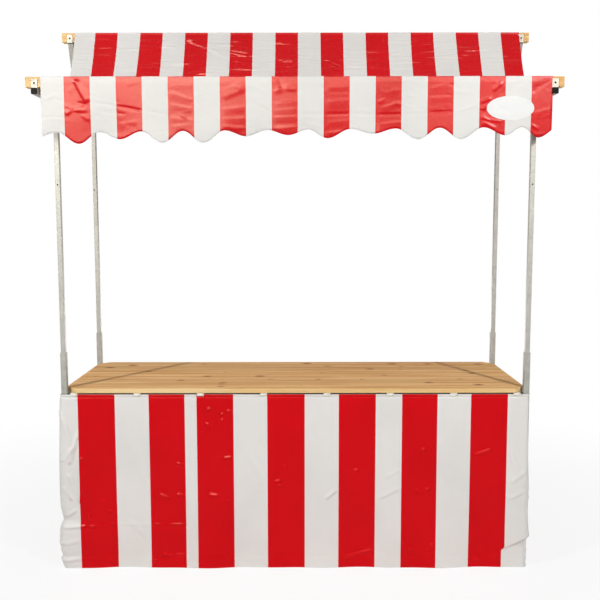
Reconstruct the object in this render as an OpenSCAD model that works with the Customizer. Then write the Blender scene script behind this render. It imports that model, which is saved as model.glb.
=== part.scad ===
// Market stall: a pine counter and a striped cloth roof on a push-together frame of
// galvanised square tube. The front faces -Y, X runs along the counter and Z is up.
// The origin is on the floor, under the middle of the stall's plan.

/* [Base frame] */
// Distance between the leg centres along the counter
leg_span_x = 2000; // [1600:10:2400]
// Distance between the leg centres from front to back
leg_span_y = 600; // [500:10:700]
// Height of the open tops of the legs above the counter
leg_rise = 155; // [60:5:250]
// Outside width of the square leg and rail tube
tube_w = 25; // [24:0.5:28]
// Wall of the leg and rail tube
tube_wall = 2; // [1:0.25:2]
// Outside corner radius of the leg and rail tube
tube_r = 2.5; // [2.2:0.1:4]
// Height of the middle of the side foot rails
foot_rail_z = 120; // [60:5:300]
// Thickness of the plastic foot under each leg
plug_flange = 5; // [3:1:10]
// Depth that a plastic plug reaches into its tube
plug_depth = 18; // [10:1:30]
// Length of the stubs that the long rails are pushed onto
spigot_len = 60; // [40:5:100]

/* [Counter] */
// Height of the counter's top face
counter_top = 805; // [750:5:850]
// Reach of the counter's ends past the leg centres
counter_end_out = 0; // [-10:1:20]
// Reach of the counter's long edges past the leg centres
counter_edge_out = 16; // [0:1:20]
// Thickness of the counter
counter_t = 20; // [18:1:40]
// Gap between the cut corners of the counter and the legs
counter_leg_gap = 5; // [2:1:20]

/* [Posts] */
// Wall of the post tube
post_wall = 1.5; // [1:0.25:2]
// Outside corner radius of the post tube
post_r = 2; // [1.8:0.1:3]
// Depth that a post stands inside its leg
socket_depth = 200; // [100:10:300]
// Diameter of the pin in the leg that the post stands on
pin_d = 6; // [4:1:10]
// Height of the spare cross hole in each post
post_hole_z = 1677; // [1200:5:1900]
// Diameter of the spare cross hole
post_hole_d = 7; // [4:1:9]

/* [Roof frame] */
// Height of the top of the roof side rails
roof_rail_top = 2065; // [1950:5:2150]
// Distance from the post's centre out to the roof side rail's centre
roof_rail_out = 62; // [40:1:90]
// Distance from the front leg's centre forward to the front beam's centre
front_beam_out = 52; // [45:1:120]
// Distance from the rear leg's centre forward to the rear beam's centre
rear_beam_in = 126; // [60:2:200]
// Distance from the rear leg's centre forward to the riser's foot
riser_foot_in = 14; // [4:1:40]
// Height of the top of the risers above the roof side rails
riser_h = 295; // [200:5:400]
// Length of the sleeve that goes over a post's top
sleeve_len = 100; // [60:5:160]
// Thickness of the plate that closes a sleeve
sleeve_cap = 2; // [1:0.5:4]
// Reach of the roof side rail in front of the front cradle
rail_nose = 0; // [0:1:30]
// Reach of the roof side rail behind the rear leg's centre
rail_tail = 12; // [8:1:40]

/* [Roof beams] */
// Reach of each beam's ends past its cradles
beam_end_out = 25; // [5:1:80]
// Width and height of the square beam
beam_w = 42; // [36:1:50]
// Radius of the beam's eased edges
beam_r = 2; // [1:0.5:5]
// Thickness of the steel cradle
cradle_t = 3; // [2:0.5:5]
// Height of the cradle's cheeks above the beam's underside
cradle_h = 33; // [20:1:36]
// Diameter of the screw hole in the cheeks
cradle_hole_d = 5; // [3:0.5:8]

/* [Roof cloth] */
// Gap between the cloth's side edges and the cradles
cloth_edge_gap = 5; // [2:1:40]
// Thickness of the cloth
cloth_t = 2; // [1:0.5:4]
// Clearance between the sagging cloth and the front post heads below it
cloth_head_gap = 3; // [1:0.5:40]
// Length of cloth lying against the front face of the rear beam
rear_drop = 36; // [10:2:40]
// Length of cloth hanging behind the rear beam
rear_flap = 120; // [40:5:200]
// Drop of the valance below the top of the front beam
valance_drop = 262; // [150:2:300]
// Width of one scallop
scallop_pitch = 176; // [100:1:260]
// Depth of the scallops
scallop_depth = 38; // [15:1:60]
// Distance from the cloth's left edge to the first notch between scallops
first_notch = 50; // [20:1:170]

/* [Skirt] */
// Gap between the counter's underside and the skirt's top edge
skirt_below = 6; // [4:1:20]
// Height of the skirt's hem above the floor
skirt_hem = 8; // [5:1:60]
// Thickness of the skirt cloth
skirt_t = 2; // [1:0.5:4]
// Width of the straps that hold the skirt
strap_w = 26; // [15:1:40]
// Thickness of the straps
strap_t = 1.5; // [1:0.25:3]
// Number of straps along the front rail
strap_count = 8; // [4:1:12]
// Distance from the leg's centre to the first strap along the front rail
strap_margin = 40; // [35:5:120]
// Gap between a tie on a rear leg and the rail above it
tie_gap = 8; // [3:1:30]

/* [Clearances] */
// Gap on each side of a tube, plug or beam inside its socket or cradle
slip = 0.5; // [0.3:0.1:0.5]
// Gap between a cloth and what it lies on
cloth_gap = 0.3; // [0.2:0.1:1]

/* [Hidden] */

STEEL = "#a9aaa6";
PLASTIC = "#1d1d1d";
PINE = "#cfa066";
CLOTH_RED = "#c4121c";
CLOTH_WHITE = "#deddd9";
STRAP = "#e6e0cf";

LEFT = -1;
RIGHT = 1;
corner_steps = 4;
least_r = 0.2;
sag_steps = 18;
round_fn = 48;

// The plan, set out about the middle of its whole depth, from plug to plug of the roof rails
cradle_half = beam_w / 2 + slip + cradle_t;
front_reach = front_beam_out + cradle_half + rail_nose + plug_flange;
rear_reach = rail_tail + plug_flange;
rear_leg_y = (leg_span_y + front_reach - rear_reach) / 2;
front_leg_y = rear_leg_y - leg_span_y;
mid_leg_y = (front_leg_y + rear_leg_y) / 2;
front_beam_y = front_leg_y - front_beam_out;
rear_beam_y = rear_leg_y - rear_beam_in;
leg_x = leg_span_x / 2;

// Base frame: the front rail lies lower, to leave room for the straps over it
tube_in = tube_w - 2 * tube_wall;
leg_top = counter_top + leg_rise;
counter_base = counter_top - counter_t;
side_rail_z = counter_base - tube_w / 2;
strap_room = 2 * slip + strap_t + cloth_gap;
front_rail_z = side_rail_z - strap_room;
long_rail_len = leg_span_x - tube_w - 2 * slip;
side_rail_len = leg_span_y - tube_w;

// Posts, sliding in the legs and standing on the pins there
post_w = tube_in - 2 * slip;
post_foot = leg_top - socket_depth;
post_head = roof_rail_top - sleeve_cap;

// Roof frame
roof_rail_x = leg_x + roof_rail_out;
roof_rail_z = roof_rail_top - tube_w / 2;
rail_front = front_beam_y - cradle_half - rail_nose;
rail_rear = rear_leg_y + rail_tail;
riser_foot_y = rear_leg_y - riser_foot_in;
riser_top = roof_rail_top + riser_h;

// Beams
beam_len = 2 * (roof_rail_x + tube_w / 2 + beam_end_out);
front_beam_base = roof_rail_top + cradle_t;
rear_beam_base = riser_top + cradle_t;
front_beam_top = front_beam_base + beam_w;
rear_beam_top = rear_beam_base + beam_w;

// Cloth
cloth_w = 2 * (roof_rail_x - tube_w / 2 - cloth_edge_gap);
cloth_mid = beam_w / 2 + cloth_gap + cloth_t / 2;
cloth_over = cloth_gap + cloth_t / 2;
sag_start = [rear_beam_y - cloth_mid, rear_beam_top - rear_drop];
sag_end = [front_beam_y + beam_w / 2, front_beam_top + cloth_over];
valance_base = front_beam_top - valance_drop;
notch_z = valance_base + scallop_depth;
scallop_r = (scallop_pitch * scallop_pitch / 4 + scallop_depth * scallop_depth) / (2 * scallop_depth);
scallop_count = ceil(cloth_w / scallop_pitch);

// Sag that brings the cloth down to its clearance over the rear edge of the front post heads
head_u = (sag_start[0] - front_leg_y - tube_w / 2) / (sag_start[0] - sag_end[0]);
head_line_z = sag_start[1] + head_u * (sag_end[1] - sag_start[1]);
cloth_sag = (head_line_z - roof_rail_top - cloth_t - cloth_head_gap) / (4 * head_u * (1 - head_u));

// Skirt, just clear of the legs and held against the straps
strap_in = tube_w + 2 * slip;
strap_out = strap_in + 2 * strap_t;
skirt_in_x = leg_x + strap_out / 2 + cloth_gap;
skirt_in_y = front_leg_y - strap_out / 2 - cloth_gap;
skirt_back = rear_leg_y + tube_w / 2;
skirt_top = counter_base - skirt_below;
tie_low = foot_rail_z - tube_w / 2 - tie_gap - strap_w / 2;
tie_high = side_rail_z - tube_w / 2 - tie_gap - strap_w / 2;
tie_heights = [tie_low, (tie_low + tie_high) / 2, tie_high];

// Outline of a square with round corners
function round_square(w, r) = [
    for (q = [0 : 3], s = [0 : corner_steps])
        let (a = 90 * (q + s / corner_steps), m = 90 * q + 45)
        (w / 2 - r) * sqrt(2) * [cos(m), sin(m)] + r * [cos(a), sin(a)]
];

// Normal of a stretch of a path, and the same path moved sideways
function stretch_normal(a, b) = [a[1] - b[1], b[0] - a[0]] / norm(b - a);
function shifted(path, d) = [
    for (i = [0 : len(path) - 1])
        let (
            last = len(path) - 1,
            before = stretch_normal(path[max(i - 1, 0)], path[max(i, 1)]),
            after = stretch_normal(path[min(i, last - 1)], path[min(i + 1, last)])
        )
        path[i] + d * (before + after) / (1 + before * after)
];
function reversed(list) = [for (i = [len(list) - 1 : -1 : 0]) list[i]];

// Square tube standing on the XY plane
module tube(length, w, wall, r) {
    linear_extrude(length) difference() {
        polygon(round_square(w, r));
        polygon(round_square(w - 2 * wall, max(r - wall, least_r)));
    }
}
module frame_tube(length) tube(length, tube_w, tube_wall, tube_r);
module along_x() rotate([0, 90, 0]) children();
module along_y() rotate([-90, 0, 0]) children();

// Solid drawn in the YZ plane and w wide along X
module across_x(w) rotate([90, 0, 90]) linear_extrude(w, center = true) children();

module leg(side, y) {
    color(STEEL) translate([side * leg_x, y, 0]) {
        translate([0, 0, plug_flange]) frame_tube(leg_top - plug_flange);
        translate([0, 0, post_foot - pin_d / 2])
            along_x() cylinder(d = pin_d, h = tube_w - tube_wall, center = true, $fn = round_fn);
    }
}

// Plastic plug for a tube's end: flange below the XY plane, stem above it
module plug() {
    stem_w = tube_in - slip;
    translate([0, 0, -plug_flange]) linear_extrude(plug_flange) polygon(round_square(tube_w, tube_r));
    linear_extrude(plug_depth) square(stem_w, center = true);
}

module foot_plugs() {
    color(PLASTIC) for (side = [LEFT, RIGHT], y = [front_leg_y, rear_leg_y])
        translate([side * leg_x, y, plug_flange]) plug();
}

module side_rail(side, z) {
    color(STEEL) translate([side * leg_x, front_leg_y + tube_w / 2, z]) along_y() frame_tube(side_rail_len);
}

// Stubs welded to the inner faces of the legs
module rail_spigots() {
    color(STEEL) for (side = [LEFT, RIGHT], row = [[front_leg_y, front_rail_z], [rear_leg_y, side_rail_z]])
        translate([side * (leg_x - tube_w / 2), row[0], row[1]])
            rotate([0, -side * 90, 0]) tube(spigot_len, post_w, post_wall, post_r);
}

module long_rail(y, z) {
    color(STEEL) translate([-long_rail_len / 2, y, z]) along_x() frame_tube(long_rail_len);
}

// Pine panel with its four corners cut off to pass the legs
module counter() {
    half_x = leg_x + counter_end_out;
    half_y = leg_span_y / 2 + counter_edge_out;
    cut = counter_end_out + counter_edge_out + tube_w + counter_leg_gap * sqrt(2);
    color(PINE) translate([0, mid_leg_y, counter_base]) linear_extrude(counter_t) difference() {
        square([2 * half_x, 2 * half_y], center = true);
        for (sx = [LEFT, RIGHT], sy = [-1, 1])
            translate([sx * half_x, sy * half_y]) rotate(45) square(cut * sqrt(2), center = true);
    }
}

module post(side, y) {
    color(STEEL) translate([side * leg_x, y, 0]) difference() {
        translate([0, 0, post_foot]) tube(post_head - post_foot, post_w, post_wall, post_r);
        translate([0, 0, post_hole_z])
            along_y() cylinder(d = post_hole_d, h = 2 * post_w, center = true, $fn = round_fn);
    }
}

// Closed sleeve over a post's top, with the arm that carries the roof rail
module post_head_piece(side, y) {
    arm_len = roof_rail_out - tube_w + tube_wall / 2;
    color(STEEL) translate([side * leg_x, y, 0]) {
        translate([0, 0, roof_rail_top - sleeve_len]) frame_tube(sleeve_len);
        translate([0, 0, post_head]) linear_extrude(sleeve_cap) square(tube_in + tube_wall, center = true);
        translate([side * (tube_w - tube_wall) / 2, 0, roof_rail_z]) rotate([0, side * 90, 0]) frame_tube(arm_len);
    }
}

module roof_rail(side) {
    color(STEEL) translate([side * roof_rail_x, rail_front, roof_rail_z])
        along_y() frame_tube(rail_rear - rail_front);
}

// Leaning tube from the rail's rear end up to the rear beam, cut level at both ends
module riser(side) {
    lean = atan2(riser_foot_y - rear_beam_y, riser_h);
    half = tube_w / 2 / cos(lean);
    half_in = tube_in / 2 / cos(lean);
    color(STEEL) translate([side * roof_rail_x, 0, 0]) difference() {
        across_x(tube_w) riser_face(half);
        across_x(tube_in) riser_face(half_in);
    }
}
module riser_face(half) {
    polygon([
        [riser_foot_y - half, roof_rail_top], [riser_foot_y + half, roof_rail_top],
        [rear_beam_y + half, riser_top], [rear_beam_y - half, riser_top]
    ]);
}

module roof_rail_plugs() {
    color(PLASTIC) for (side = [LEFT, RIGHT]) {
        translate([side * roof_rail_x, rail_front, roof_rail_z]) along_y() plug();
        translate([side * roof_rail_x, rail_rear, roof_rail_z]) rotate([90, 0, 0]) plug();
    }
}

// Bent strip that holds a beam between two cheeks
module cradle(side, y, z) {
    inner = beam_w + 2 * slip;
    color(STEEL) translate([side * roof_rail_x, y, z]) difference() {
        across_x(tube_w) difference() {
            translate([-inner / 2 - cradle_t, 0]) square([inner + 2 * cradle_t, cradle_t + cradle_h]);
            translate([-inner / 2, cradle_t]) square([inner, cradle_t + cradle_h]);
        }
        translate([0, 0, cradle_t + cradle_h / 2])
            along_y() cylinder(d = cradle_hole_d, h = 2 * beam_w, center = true, $fn = round_fn);
    }
}

module beam(y, base) {
    color(PINE) translate([-beam_len / 2, y, base + beam_w / 2])
        along_x() linear_extrude(beam_len) polygon(round_square(beam_w, beam_r));
}

// Path of the roof cloth from its rear hem over both beams to the valance
function cloth_path() =
    concat(
        [
            [rear_beam_y + cloth_mid, rear_beam_top - rear_flap],
            [rear_beam_y + cloth_mid, rear_beam_top + cloth_over],
            [rear_beam_y - cloth_mid, rear_beam_top + cloth_over]
        ],
        [
            for (i = [0 : sag_steps])
                let (u = i / sag_steps)
                sag_start + u * (sag_end - sag_start) - [0, 4 * cloth_sag * u * (1 - u)]
        ],
        [[front_beam_y - beam_w / 2 - cloth_gap, front_beam_top + cloth_over]]
    );

module roof_cloth() {
    path = cloth_path();
    color(CLOTH_RED) across_x(cloth_w)
        polygon(concat(shifted(path, cloth_t / 2), reversed(shifted(path, -cloth_t / 2))));
}

// Hanging front edge of the roof cloth, cut in a row of scallops
module front_valance() {
    top = front_beam_top + cloth_gap + cloth_t;
    color(CLOTH_WHITE) translate([0, front_beam_y - beam_w / 2 - cloth_gap, 0])
        rotate([90, 0, 0]) linear_extrude(cloth_t) {
            translate([-cloth_w / 2, notch_z]) square([cloth_w, top - notch_z]);
            intersection() {
                translate([-cloth_w / 2, valance_base]) square([cloth_w, scallop_depth]);
                for (i = [-1 : scallop_count])
                    translate([first_notch - cloth_w / 2 + (i + 0.5) * scallop_pitch, 0]) scallop();
            }
        }
}
module scallop() {
    intersection() {
        translate([0, valance_base + scallop_r]) circle(scallop_r, $fn = round_fn);
        translate([-scallop_pitch / 2, valance_base]) square([scallop_pitch, scallop_depth]);
    }
}

module front_skirt() {
    half = skirt_in_x + skirt_t;
    color(CLOTH_RED) translate([-half, skirt_in_y - skirt_t, skirt_hem])
        cube([2 * half, skirt_t, skirt_top - skirt_hem]);
}

module side_skirt(side) {
    color(CLOTH_WHITE) translate([side * (skirt_in_x + skirt_t / 2) - skirt_t / 2, skirt_in_y, skirt_hem])
        cube([skirt_t, skirt_back - skirt_in_y, skirt_top - skirt_hem]);
}

// Band of webbing round a tube that stands on the XY plane
module strap() {
    linear_extrude(strap_w, center = true) difference() {
        square(strap_out, center = true);
        square(strap_in, center = true);
    }
}

module skirt_loops() {
    first = -leg_x + strap_margin;
    step = (leg_span_x - 2 * strap_margin) / (strap_count - 1);
    color(STRAP) for (i = [0 : strap_count - 1])
        translate([first + i * step, front_leg_y, front_rail_z]) along_x() strap();
}

module skirt_ties() {
    color(STRAP) for (side = [LEFT, RIGHT], z = tie_heights)
        translate([side * leg_x, rear_leg_y, z]) strap();
}

leg(LEFT, front_leg_y);  // left_front_leg
leg(RIGHT, front_leg_y);  // right_front_leg
leg(LEFT, rear_leg_y);  // left_rear_leg
leg(RIGHT, rear_leg_y);  // right_rear_leg
foot_plugs();
side_rail(LEFT, side_rail_z);  // left_side_rail
side_rail(RIGHT, side_rail_z);  // right_side_rail
side_rail(LEFT, foot_rail_z);  // left_foot_rail
side_rail(RIGHT, foot_rail_z);  // right_foot_rail
rail_spigots();
long_rail(front_leg_y, front_rail_z);  // front_rail
long_rail(rear_leg_y, side_rail_z);  // rear_rail
counter();
post(LEFT, front_leg_y);  // left_front_post
post(RIGHT, front_leg_y);  // right_front_post
post(LEFT, rear_leg_y);  // left_rear_post
post(RIGHT, rear_leg_y);  // right_rear_post
post_head_piece(LEFT, front_leg_y);  // left_front_head
post_head_piece(RIGHT, front_leg_y);  // right_front_head
post_head_piece(LEFT, rear_leg_y);  // left_rear_head
post_head_piece(RIGHT, rear_leg_y);  // right_rear_head
roof_rail(LEFT);  // left_roof_rail
roof_rail(RIGHT);  // right_roof_rail
riser(LEFT);  // left_riser
riser(RIGHT);  // right_riser
roof_rail_plugs();
cradle(LEFT, front_beam_y, roof_rail_top);  // left_front_cradle
cradle(RIGHT, front_beam_y, roof_rail_top);  // right_front_cradle
cradle(LEFT, rear_beam_y, riser_top);  // left_rear_cradle
cradle(RIGHT, rear_beam_y, riser_top);  // right_rear_cradle
beam(front_beam_y, front_beam_base);  // front_beam
beam(rear_beam_y, rear_beam_base);  // rear_beam
roof_cloth();
front_valance();
front_skirt();
side_skirt(LEFT);  // left_skirt
side_skirt(RIGHT);  // right_skirt
skirt_loops();
skirt_ties();
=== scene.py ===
import math

import bmesh
import bpy
import numpy as np
from mathutils import Matrix, Vector


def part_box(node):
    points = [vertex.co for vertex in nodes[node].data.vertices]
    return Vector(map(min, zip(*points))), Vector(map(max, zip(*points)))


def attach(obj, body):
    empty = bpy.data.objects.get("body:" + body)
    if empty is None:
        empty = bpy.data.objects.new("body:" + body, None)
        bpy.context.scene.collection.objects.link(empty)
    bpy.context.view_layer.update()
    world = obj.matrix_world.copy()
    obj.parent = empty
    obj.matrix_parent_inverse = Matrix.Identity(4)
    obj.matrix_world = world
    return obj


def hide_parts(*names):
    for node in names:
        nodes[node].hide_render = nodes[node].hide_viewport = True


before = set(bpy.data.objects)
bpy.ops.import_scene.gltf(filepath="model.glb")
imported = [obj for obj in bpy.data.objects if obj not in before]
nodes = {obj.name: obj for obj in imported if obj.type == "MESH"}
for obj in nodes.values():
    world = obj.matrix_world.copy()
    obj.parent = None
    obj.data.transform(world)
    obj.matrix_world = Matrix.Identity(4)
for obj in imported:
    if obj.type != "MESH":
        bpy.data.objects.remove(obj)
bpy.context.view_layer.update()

# Base frame
# Two welded side frames of 25 mm square steel tube, with two long rails pushed onto stubs between them.
# The tube was hot-dip galvanised, so it is a dull grey, and the joints carry a fillet weld all round.


def linear(colour):
    """Turns an sRGB hex colour into the linear one that Blender works in."""
    parts = [int(colour[i : i + 2], 16) / 255 for i in (1, 3, 5)]
    return [p / 12.92 if p <= 0.04045 else ((p + 0.055) / 1.055) ** 2.4 for p in parts] + [1.0]


def new_material(name):
    """Makes a material and returns it with its node tree and its shader."""
    made = bpy.data.materials.new(name)
    made.use_nodes = True
    return made, made.node_tree, made.node_tree.nodes["Principled BSDF"]


def feed(made, inputs):
    """Sets a node's inputs, by name or number, or links them to another node's output."""
    for name, value in inputs.items():
        if isinstance(value, bpy.types.NodeSocket):
            made.id_data.links.new(value, made.inputs[name])
        else:
            made.inputs[name].default_value = value


def node(tree, kind, inputs=None, **settings):
    """Adds a shader node with its settings, values and links."""
    made = tree.nodes.new("ShaderNode" + kind)
    for name, value in settings.items():
        setattr(made, name, value)
    feed(made, inputs or {})
    return made


def blend(tree, share, first, second):
    """Mixes two colours by a share. A colour is an sRGB hex or another node's output."""
    first, second = (linear(c) if isinstance(c, str) else c for c in (first, second))
    return node(tree, "Mix", {0: share, 6: first, 7: second}, data_type="RGBA").outputs[2]


def zinc_coat(name, dark, light, spangle, rough, bare):
    """Weathered zinc on steel: a dry patina over crystals as wide as the spangle, clouded by handling."""
    cloud = 0.09
    made, tree, shader = new_material(name)
    place = node(tree, "TexCoord").outputs["Object"]
    crystals = node(tree, "TexVoronoi", {"Vector": place, "Scale": 1 / spangle})
    crystal_grey = node(tree, "SeparateColor", {"Color": crystals.outputs["Color"]})
    clouds = node(
        tree, "TexNoise", {"Vector": place, "Scale": 1 / cloud, "Detail": 5.0, "Roughness": 0.6}
    ).outputs["Fac"]
    cloudy = node(tree, "MapRange", {"Value": clouds, "From Min": 0.35, "From Max": 0.65})
    both = node(tree, "Math", {0: crystal_grey.outputs[0], 1: cloudy.outputs[0]}, operation="ADD")
    share = node(tree, "Math", {0: both.outputs[0], 1: 0.5}, operation="MULTIPLY")
    matt = node(tree, "MapRange", {"Value": clouds, "To Min": rough - 0.1, "To Max": rough + 0.12})
    relief = node(tree, "Bump", {"Strength": 0.15, "Distance": 0.0006, "Height": clouds})
    feed(shader, {
        "Base Color": blend(tree, share.outputs[0], dark, light), "Metallic": bare,
        "Specular IOR Level": 0.15, "Roughness": matt.outputs[0], "Normal": relief.outputs[0],
    })
    return made


# Galvanised steel: an even, dry mid grey with a faint mottle and hardly any shine.
zinc = zinc_coat("galvanised_steel", "#9a9993", "#b3b2ac", 0.014, 0.6, 0.15)
base_steel = [
    "left_front_leg", "right_front_leg", "left_rear_leg", "right_rear_leg",
    "left_side_rail", "right_side_rail", "left_foot_rail", "right_foot_rail", "rail_spigots",
]
# Galvanised steel painted nearly black as painted shade: the long rails, of which a dark line shows in the
# shaded gap under the counter.
shade_painted_zinc = zinc_coat("galvanised_steel_painted_shade", "#4c4a44", "#625f58", 0.014, 0.65, 0.15)


def dress(names, *materials):
    """Gives CAD nodes their materials."""
    for name in names:
        nodes[name].data.materials.clear()
        for made in materials:
            nodes[name].data.materials.append(made)


dress(base_steel, zinc)
# The rails take the near-black zinc as painted shade for the shadowed gap under the counter.
dress(["front_rail", "rear_rail"], shade_painted_zinc)


def piece(name, points, faces, *materials, smooth=True):
    """Makes a mesh from points in metres, lets it ride on the frame and returns it."""
    mesh = bpy.data.meshes.new(name)
    mesh.from_pydata(np.reshape(points, (-1, 3)).tolist(), [], np.asarray(faces).tolist())
    for made in materials:
        mesh.materials.append(made)
    mesh.polygons.foreach_set("use_smooth", [smooth] * len(mesh.polygons))
    made = bpy.data.objects.new(name, mesh)
    bpy.context.scene.collection.objects.link(made)
    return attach(made, "root")


def grid_faces(rows, columns, first=0, closed=False):
    """Quads of a grid of points, row after row, closed where its last column meets the first."""
    r, c = np.meshgrid(np.arange(rows - 1), np.arange(columns if closed else columns - 1), indexing="ij")
    right = (c + 1) % columns
    corners = [r * columns + c, r * columns + right, (r + 1) * columns + right, (r + 1) * columns + c]
    return first + np.stack(corners, axis=-1).reshape(-1, 4)


def weld(centre, half_wide, half_high, across, up):
    """Points of a rippled bead round a rectangular tube end, as rows round a closed ring."""
    bead, ripple, ripples, squareness, steps, sides = 0.0021, 0.18, 18, 8, 72, 7
    turn = np.linspace(0, 2 * math.pi, steps, endpoint=False)
    square = (np.abs(np.cos(turn)) ** squareness + np.abs(np.sin(turn)) ** squareness) ** (-1 / squareness)
    wide, high = np.cos(turn) * square * half_wide, np.sin(turn) * square * half_high
    out = np.outer(wide, across) + np.outer(high, up)
    outward = out / np.linalg.norm(out, axis=1, keepdims=True)
    thick = bead * (1 + ripple * np.sin(ripples * turn))
    ring = np.linspace(0, 2 * math.pi, sides, endpoint=False)
    axis = np.cross(across, up)
    rows = [
        np.asarray(centre) + out + thick[:, None] * (math.cos(a) * outward + math.sin(a) * axis) for a in ring
    ]
    return np.stack(rows + rows[:1])


def weld_piece(name, rings):
    """Joins weld rings into one piece."""
    points = np.concatenate([ring.reshape(-1, 3) for ring in rings])
    size = rings[0].shape[0] * rings[0].shape[1]
    faces = [grid_faces(*ring.shape[:2], first=i * size, closed=True) for i, ring in enumerate(rings)]
    return piece(name, points, np.concatenate(faces), zinc)


x_axis, y_axis, z_axis = np.eye(3)
base_rings = []
for name in ("left_side_rail", "right_side_rail", "left_foot_rail", "right_foot_rail"):
    low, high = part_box(name)
    middle, half = (low + high) / 2, (high.x - low.x) / 2
    for y in (low.y, high.y):
        base_rings.append(weld((middle.x, y, middle.z), half, half, x_axis, z_axis))
weld_piece("base_welds", base_rings)

# Feet and tube plugs
# Injection-moulded polyethylene plugs, pushed into the open tube ends with a flange that closes them.
# They are black with a fine moulded grain, and the flanges of the feet are scuffed paler.

# Black polyethylene: a deep soft black with a waxy, broad highlight.
moulded_grain = 0.0016
scuff_patch = 0.02
plastic, tree, shader = new_material("black_polyethylene")
place = node(tree, "TexCoord").outputs["Object"]
grain = node(tree, "TexNoise", {"Vector": place, "Scale": 1 / moulded_grain, "Detail": 2.0})
scuffs = node(tree, "TexNoise", {"Vector": place, "Scale": 1 / scuff_patch, "Detail": 6.0, "Roughness": 0.7})
worn = node(tree, "MapRange", {"Value": scuffs.outputs["Fac"], "From Min": 0.55, "From Max": 0.75})
black = blend(tree, worn.outputs[0], "#040404", "#101011")
relief = node(tree, "Bump", {"Strength": 0.3, "Distance": 0.0003, "Height": grain.outputs["Fac"]})
feed(shader, {
    "Base Color": black, "Roughness": 0.5, "IOR": 1.51, "Specular IOR Level": 0.05,
    "Normal": relief.outputs[0],
})
dress(["foot_plugs", "roof_rail_plugs"], plastic)

# Counter
# A glued panel of six planed pine boards, 20 mm thick, with its corners sawn off to pass the legs.
# It lies loose on the rails, and its faces were oiled, so they are darker than its bare planed edges, whose
# paleness also holds painted light for the front edge that faces the lamps.


def pine(name, early, late, knot, board_width, first_board):
    """Pine with its grain along X: pale early wood, darker late wood, brown knots, another cut per board.

    Growth lines 3 mm apart would not show from where the photo was taken, so they are drawn wider.
    """
    growth_line, streak, fibre, knot_cell = 0.03, 0.03, 0.004, 0.13
    board_shift, grain_stretch, knot_stretch = (9.0, 3.0, 3.0), (0.04, 1.0, 1.0), (0.6, 1.0, 1.0)
    line_scale = 2 * math.pi / 20 / growth_line
    made, tree, shader = new_material(name)
    place = node(tree, "TexCoord").outputs["Object"]
    split = node(tree, "SeparateXYZ", {"Vector": place})
    board = node(tree, "Math", {0: split.outputs["Y"], 1: first_board}, operation="SUBTRACT")
    board = node(tree, "Math", {0: board.outputs[0], 1: board_width}, operation="DIVIDE")
    board = node(tree, "Math", {0: board.outputs[0]}, operation="FLOOR")
    chance = node(tree, "TexWhiteNoise", {"W": board.outputs[0]}, noise_dimensions="1D")
    moved = node(
        tree, "VectorMath", {0: chance.outputs["Color"], 1: board_shift, 2: place}, operation="MULTIPLY_ADD"
    ).outputs[0]
    long = node(tree, "VectorMath", {0: moved, 1: grain_stretch}, operation="MULTIPLY").outputs[0]
    knot_place = node(tree, "VectorMath", {0: moved, 1: knot_stretch}, operation="MULTIPLY").outputs[0]
    knots = node(tree, "TexVoronoi", {"Vector": knot_place, "Scale": 1 / knot_cell}, voronoi_dimensions="2D")
    knot_size = node(tree, "SeparateColor", {"Color": knots.outputs["Color"]})
    knot_edge = node(tree, "MapRange", {"Value": knot_size.outputs[0], "To Min": -0.06, "To Max": 0.1})
    knot_depth = node(
        tree, "Math", {0: knot_edge.outputs[0], 1: knots.outputs["Distance"]}, operation="SUBTRACT"
    )
    in_knot = node(tree, "MapRange", {"Value": knot_depth.outputs[0], "From Min": -0.06, "From Max": 0.06})
    lines = node(
        tree, "TexWave",
        {"Vector": long, "Scale": line_scale, "Distortion": 6.0, "Detail": 3.0, "Detail Scale": 0.8},
        bands_direction="Y", wave_profile="SAW",
    )
    streaks = node(
        tree, "TexNoise", {"Vector": long, "Scale": 1 / streak, "Detail": 5.0, "Roughness": 0.65}
    )
    fibres = node(tree, "TexNoise", {"Vector": long, "Scale": 1 / fibre, "Detail": 2.0})
    dark_lines = node(tree, "MapRange", {"Value": lines.outputs["Fac"], "From Min": 0.4, "To Max": 0.38})
    dark_streaks = node(tree, "MapRange", {"Value": streaks.outputs["Fac"], "From Min": 0.4, "From Max": 0.7})
    figure = node(tree, "Math", {0: dark_lines.outputs[0], 1: dark_streaks.outputs[0]}, operation="ADD")
    flecks = node(tree, "MapRange", {"Value": fibres.outputs["Fac"], "To Min": -0.25, "To Max": 0.25})
    figure = node(
        tree, "Math", {0: figure.outputs[0], 1: flecks.outputs[0]}, operation="ADD", use_clamp=True
    ).outputs[0]
    wood = blend(tree, figure, early, late)
    board_tone = node(tree, "MapRange", {"Value": chance.outputs["Value"], "To Min": 0.94, "To Max": 1.05})
    wood = node(tree, "VectorMath", {0: wood, "Scale": board_tone.outputs[0]}, operation="SCALE")
    wood = blend(tree, in_knot.outputs[0], wood.outputs[0], knot)
    sheen = node(tree, "MapRange", {"Value": figure, "To Min": 0.72, "To Max": 0.58})
    relief = node(tree, "Bump", {"Strength": 0.25, "Distance": 0.0005, "Height": figure})
    feed(shader, {
        "Base Color": wood, "Roughness": sheen.outputs[0], "Specular IOR Level": 0.12,
        "Normal": relief.outputs[0],
    })
    return made


board_count, glue_line, eased_edge = 6, 0.0004, 0.0012
low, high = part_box("counter")
board_width = (high.y - low.y) / board_count
leg_low, leg_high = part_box("right_front_leg")
leg_gap = 0.005
corner_cut = high.x - leg_low.x + leg_high.y - low.y + leg_gap * math.sqrt(2)
# Oiled pine: honey brown with darker growth lines and knots, and a dull sheen.
oiled_pine = pine("oiled_pine", "#f4ca90", "#c68a45", "#87501f", board_width, low.y)
# Bare pine edge: paler and flatter than the oiled faces. The paleness is partly bare wood and partly painted
# light, standing for the directly lit front edge, so that it reads as a light line.
bare_and_lit_edge = pine("bare_pine_edge_with_painted_light", "#f2d39c", "#e2b878", "#8a5a2c", board_width, low.y)

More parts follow.
